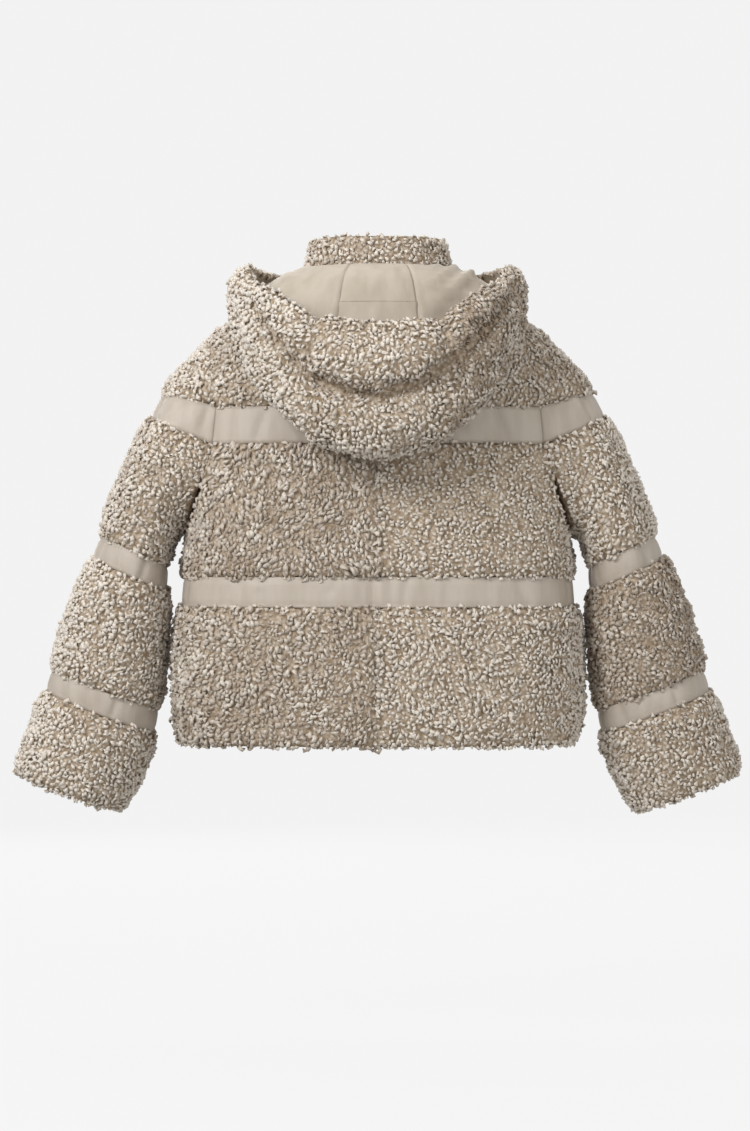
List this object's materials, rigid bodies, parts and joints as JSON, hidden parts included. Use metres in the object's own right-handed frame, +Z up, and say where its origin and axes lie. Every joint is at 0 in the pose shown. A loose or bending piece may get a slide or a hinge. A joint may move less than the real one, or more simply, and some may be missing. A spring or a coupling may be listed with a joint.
{
  "type": "hooded faux fur coat with cloth bands, held by its wearer",
  "caption": "Short hooded jacket of curly faux fur bands and smooth cloth bands, hollow as worn, with a stand collar, a hanging hood and a front zip.",
  "frame": {"origin": "middle of the neck opening, at the height of the back neck seam, where the wearer's neck and shoulders hold the coat", "axes": "+Z up, +Y towards the wearer's front, +X towards the wearer's right sleeve"},
  "size_m": [0.8826, 0.3592, 0.6865],
  "materials": {
    "fur": "curly faux fur pile, light beige",
    "cloth": "smooth woven cloth with a soft sheen, pale taupe",
    "zip_metal": "satin"
  },
  "bodies": {
    "coat": {"back_yoke_fur": "fur", "front_yoke_fur_left": "fur", "front_yoke_fur_right": "fur", "back_upper_band": "cloth", "front_upper_band_left": "cloth", "front_upper_band_right": "cloth", "back_chest_fur_left": "fur", "back_chest_fur_right": "fur", "front_chest_fur_left": "fur", "front_chest_fur_right": "fur", "back_lower_band": "cloth", "front_lower_band_left": "cloth", "front_lower_band_right": "cloth", "back_hem_fur_left": "fur", "back_hem_fur_right": "fur", "front_hem_fur_left": "fur", "front_hem_fur_right": "fur", "sleeve_left_cap_fur": "fur", "sleeve_left_upper_band": "cloth", "sleeve_left_upper_fur": "fur", "sleeve_left_middle_band": "cloth", "sleeve_left_forearm_fur": "fur", "sleeve_left_lower_band": "cloth", "sleeve_left_cuff_fur": "fur", "sleeve_right_cap_fur": "fur", "sleeve_right_upper_band": "cloth", "sleeve_right_upper_fur": "fur", "sleeve_right_middle_band": "cloth", "sleeve_right_forearm_fur": "fur", "sleeve_right_lower_band": "cloth", "sleeve_right_cuff_fur": "fur", "collar": "fur", "hood_fur_left": "fur", "hood_lining_left": "cloth", "hood_fur_centre": "fur", "hood_lining_centre": "cloth", "hood_fur_right": "fur", "hood_lining_right": "cloth", "zip_tape_left": "cloth", "zip_teeth_left": "zip_metal", "zip_tape_right": "cloth", "zip_teeth_right": "zip_metal", "zip_slider": "zip_metal", "zip_box": "zip_metal"},
    "pull": {"zip_pull": "zip_metal"}
  },
  "joints": [
    {"name": "pull_hinge", "type": "hinge", "parent": "coat", "child": "pull", "pos_m": [0, 0.08237, 0.01703], "axis": [1, 0, 0], "range_deg": [0, 170]}
  ]
}
